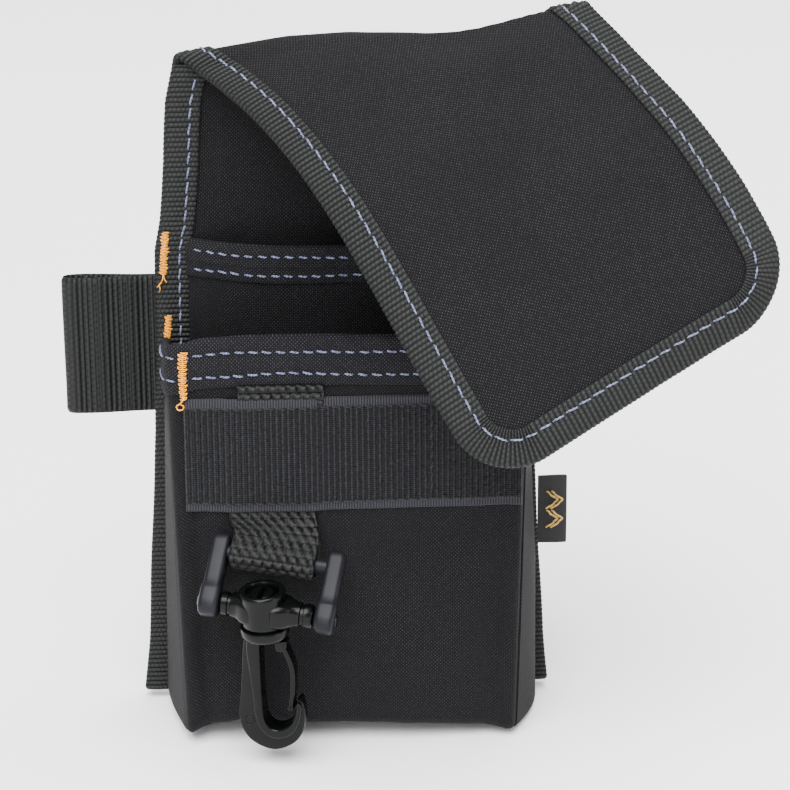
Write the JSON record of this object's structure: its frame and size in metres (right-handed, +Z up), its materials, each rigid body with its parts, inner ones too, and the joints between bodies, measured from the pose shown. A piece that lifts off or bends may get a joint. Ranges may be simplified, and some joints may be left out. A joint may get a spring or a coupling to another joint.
{
  "type": "electrician tool pouch",
  "caption": "Belt pouch of coated cloth with a main and an inner pocket, a side-thrown cover flap, a webbing tool loop and a swivel snap hook.",
  "frame": {"origin": "middle of the belt tunnel on the rear of the back panel", "axes": "+Z up as worn, -Y the front of the pouch away from the wearer, +X to the right of the front view"},
  "size_m": [0.2018, 0.0922, 0.2159],
  "materials": {
    "fabric": "coated basket weave, matt",
    "lining": "plain coated cloth",
    "binding_tape": "ribbed tape",
    "webbing": "ribbed webbing",
    "hem_cloth": "fine weave",
    "loop_tape": "brushed loop pile in wales",
    "strap_webbing": "chunky weave, slight sheen",
    "label": "satin",
    "bartack_thread": "twisted thread",
    "hook_tape": "moulded hooks",
    "yoke_plastic": "semi gloss",
    "hook_plastic": "semi gloss"
  },
  "bodies": {
    "pouch": {"back_panel": "fabric", "back_binding_left": "binding_tape", "back_binding_right": "binding_tape", "back_binding_bottom": "binding_tape", "belt_loop": "webbing", "tool_loop": "webbing", "front_panel": "fabric", "front_hem_band": "hem_cloth", "gusset_left": "fabric", "gusset_right": "fabric", "pocket_floor": "fabric", "inner_panel": "fabric", "inner_hem_band": "hem_cloth", "inner_wing_left": "fabric", "inner_wing_right": "fabric", "loop_tape": "loop_tape", "hook_strap": "strap_webbing", "side_label": "label", "bartacks": "bartack_thread", "flap_fold": "fabric"},
    "flap": {"flap_panel": "fabric", "flap_lining": "lining", "flap_binding": "binding_tape", "hook_patch": "hook_tape"},
    "yoke": {"strap_yoke": "yoke_plastic"},
    "barrel": {"swivel_barrel": "hook_plastic"},
    "hook": {"snap_hook": "hook_plastic"},
    "gate": {"hook_gate": "hook_plastic"}
  },
  "joints": [
    {"name": "flap_swing", "type": "hinge", "parent": "pouch", "child": "flap", "pos_m": [-0.0233, -0.008, 0.0812], "axis": [0.4, 0.8495, -0.344], "range_deg": [-35, 40]},
    {"name": "yoke_swing", "type": "hinge", "parent": "pouch", "child": "yoke", "pos_m": [-0.0224, -0.0494, -0.0615], "axis": [0.9666, -0.2419, -0.0846], "range_deg": [-30, 0]},
    {"name": "barrel_tilt", "type": "hinge", "parent": "yoke", "child": "barrel", "pos_m": [-0.02573, -0.05846, -0.07364], "axis": [0.9666, -0.2419, -0.0846], "range_deg": [-35, 0]},
    {"name": "hook_spin", "type": "hinge", "parent": "barrel", "child": "hook", "pos_m": [-0.02573, -0.05846, -0.07364], "axis": [-0.0483, -0.0734, 0.9961], "continuous": true},
    {"name": "gate_press", "type": "hinge", "parent": "hook", "child": "gate", "pos_m": [-0.02075, -0.05882, -0.08426], "axis": [0.2488, 0.965, 0.0832], "range_deg": [0, 12], "stiffness_Nm_per_rad": 0.12}
  ]
}
